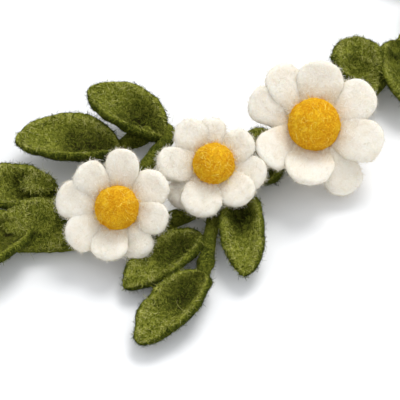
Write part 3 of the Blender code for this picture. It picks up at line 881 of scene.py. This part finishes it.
def stem_object(stem, seed, material):
    """A sprig's stem, smooth along its points."""
    line = np.array(stem.points)
    share = np.linspace(0, len(line) - 1, STEM.rings)
    centres = np.stack([np.interp(share, np.arange(len(line)), line[:, k]) for k in range(3)], axis=-1)
    for _ in range(STEM_SMOOTHINGS):
        centres[1:-1] = (centres[:-2] + 2 * centres[1:-1] + centres[2:]) / 4
    ahead = unit(np.gradient(centres, axis=0))
    side = unit(np.cross(ahead, np.array((0, 0, 1.0))))
    up = np.cross(side, ahead)
    phi = angles(STEM.sides)[None, :, None]
    knob = np.exp(-((np.linspace(0, 1, STEM.rings) - STEM_KNOB_PLACE) / STEM_KNOB_LENGTH) ** 2)
    radius = stem.radius * (1 + STEM_KNOB * knob)[:, None, None]
    rings = centres[:, None] + radius * (np.cos(phi) * side[:, None] + np.sin(phi) * up[:, None])
    return lumpy_tube(stem.name + "_felt", rings, seed, material)


def plain_daisies():
    """The daisies of the plain rest of the ring."""
    daisies = []
    for i in range(PLAIN_COUNT):
        angle = PLAIN_FIRST + i * PLAIN_STEP
        reach = PLAIN_REACH[i % len(PLAIN_REACH)]
        petals = []
        for k in range(PLAIN_PETALS):
            turn = 360 / PLAIN_PETALS * k + PLAIN_PETAL_SHIFT * i
            size = PLAIN_REACHES[k % len(PLAIN_REACHES)]
            lift = PLAIN_LIFTS[(k + i) % len(PLAIN_LIFTS)]
            petals.append(Petal(turn, size, 1.0, lift, PLAIN_OVERS[k % len(PLAIN_OVERS)], 0))
        spot = vine_point(angle, PLAIN_BALL_HEIGHT)
        width = PLAIN_WIDTH_SHARE * reach
        daisies.append(Daisy(f"daisy_{i + 4}", spot, angle, PLAIN_LEAN, reach, width, petals))
    return daisies


def plain_leaves():
    """The bunches of leaves between the daisies of the plain rest of the ring."""
    leaves = []
    for i in range(PLAIN_COUNT + 1):
        angle = PLAIN_FIRST + i * PLAIN_STEP - PLAIN_BUNCH_BEFORE
        spot = vine_point(angle, PLAIN_LEAF_HEIGHT)
        for leaf in PLAIN_BUNCH:
            name = f"leaf_{leaf.name}_{i + 1}"
            side = 1 if leaf.name != "back" or i % 2 else -1
            leaves.append(Leaf(
                name, spot, angle + 90 + side * leaf.turn, PLAIN_LEAF_PITCH, 0, leaf.length, leaf.width,
                PLAIN_LEAF_CURL, PLAIN_LEAF_CURL, PLAIN_LEAF_BEND,
            ))
    return leaves


def dress(piece, node):
    """A piece takes the place of its node and rides on the wreath."""
    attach(piece, "root")
    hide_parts(node)


def add_leaves(green, green_fibre):
    """All leaves, with their fibres."""
    leaves = [(leaf, FINE_LEAF) for leaf in SEEN_LEAVES] + [(leaf, PLAIN_LEAF) for leaf in plain_leaves()]
    for i, (leaf, fineness) in enumerate(leaves):
        piece = leaf_object(leaf, fineness, LEAF_SEEDS.lumps + LEAF_SEEDS.apart * i, green)
        dress(piece, leaf.name)
        add_wool(piece, GREEN_WOOL, fineness, LEAF_SEEDS.fibres + i, green_fibre)


def add_daisies(white, yellow, white_fibre, yellow_fibre):
    """All daisies, with their fibres."""
    daisies = [(d, FINE_PETAL, FINE_BALL) for d in SEEN_DAISIES]
    daisies += [(d, PLAIN_PETAL, PLAIN_BALL) for d in plain_daisies()]
    for i, (daisy, petal, ball) in enumerate(daisies):
        corolla = corolla_object(daisy, petal, PETAL_SEEDS.lumps + PETAL_SEEDS.apart * i, white)
        dress(corolla, daisy.name + "_petals")
        centre = ball_object(daisy, ball, BALL_SEEDS.lumps + BALL_SEEDS.apart * i, yellow)
        dress(centre, daisy.name + "_centre")
        seed, petals = PETAL_SEEDS.fibres + i, len(daisy.petals)
        add_wool(corolla, WHITE_WOOL, petal, seed, white_fibre, petals)
        add_wool(centre, YELLOW_WOOL, ball, BALL_SEEDS.fibres + i, yellow_fibre)


def add_vine(green, green_fibre):
    """The vine and the sprigs' stems, with their fibres."""
    vine = vine_object(green)
    dress(vine, "vine")
    add_wool(vine, GREEN_WOOL, VINE, VINE_SEEDS.fibres, green_fibre)
    for i, stem in enumerate(STEMS):
        piece = stem_object(stem, STEM_SEEDS.lumps + STEM_SEEDS.apart * i, green)
        dress(piece, stem.name)
        add_wool(piece, GREEN_WOOL, STEM, STEM_SEEDS.fibres + i, green_fibre)


def add_floor():
    """A plain white surface."""
    mesh = bpy.data.meshes.new("surface")
    corners = [(x * SURFACE_REACH, y * SURFACE_REACH, 0) for x, y in ((-1, -1), (1, -1), (1, 1), (-1, 1))]
    mesh.from_pydata(corners, [], [(0, 1, 2, 3)])
    material = bpy.data.materials.new("surface")
    material.use_nodes = True
    shader = material.node_tree.nodes["Principled BSDF"]
    shader.inputs["Base Color"].default_value = SURFACE_WHITE
    shader.inputs["Roughness"].default_value = SURFACE_ROUGHNESS
    shader.inputs["Specular IOR Level"].default_value = 0.0
    mesh.materials.append(material)
    floor = bpy.data.objects.new("surface", mesh)
    bpy.context.scene.collection.objects.link(floor)


def add_light(name, place, aim, size, energy):
    """A square soft light that points at a place."""
    data = bpy.data.lights.new(name, "AREA")
    data.size = size
    data.energy = energy
    light = bpy.data.objects.new(name, data)
    light.location = place
    light.rotation_mode = "QUATERNION"
    light.rotation_quaternion = (Vector(aim) - Vector(place)).to_track_quat("-Z", "Y")
    bpy.context.scene.collection.objects.link(light)


def add_lights():
    """Soft studio light from above and behind, and pale surroundings."""
    add_light("key", KEY_PLACE, KEY_AIM, KEY_SIZE, KEY_ENERGY)
    world = bpy.data.worlds.new("studio")
    world.use_nodes = True
    background = world.node_tree.nodes["Background"]
    background.inputs["Color"].default_value = SURROUND_COLOUR
    background.inputs["Strength"].default_value = SURROUND_STRENGTH
    bpy.context.scene.world = world
    bpy.context.scene.view_settings.view_transform = "Standard"


def add_camera():
    """The camera at the photo's angle."""
    elevation = math.radians(VIEW_ELEVATION)
    target = Vector((VIEW_CENTRE[0] + RING_CENTRE[0], VIEW_CENTRE[1] + RING_CENTRE[1], 0.0))
    back = Vector((0, -math.cos(elevation), math.sin(elevation)))
    data = bpy.data.cameras.new("view")
    data.sensor_width = SENSOR_WIDTH
    data.lens = data.sensor_width * VIEW_DISTANCE / VIEW_WIDTH
    data.clip_end = VIEW_CLIP
    camera = bpy.data.objects.new("view", data)
    camera.location = target + back * VIEW_DISTANCE
    camera.rotation_mode = "QUATERNION"
    camera.rotation_quaternion = (-back).to_track_quat("-Z", "Y")
    bpy.context.scene.collection.objects.link(camera)
    bpy.context.scene.camera = camera


def main():
    """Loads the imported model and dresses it."""
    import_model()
    add_camera()
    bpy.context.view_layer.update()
    green = green_felt()
    green_fibre = fibre_material("green_fibre", GREEN_TONES)
    add_vine(green, green_fibre)
    add_leaves(green, green_fibre)
    add_daisies(white_felt(), yellow_felt(), fibre_material("white_fibre", WHITE_TONES),
                fibre_material("yellow_fibre", YELLOW_TONES))
    add_floor()
    add_lights()


main()
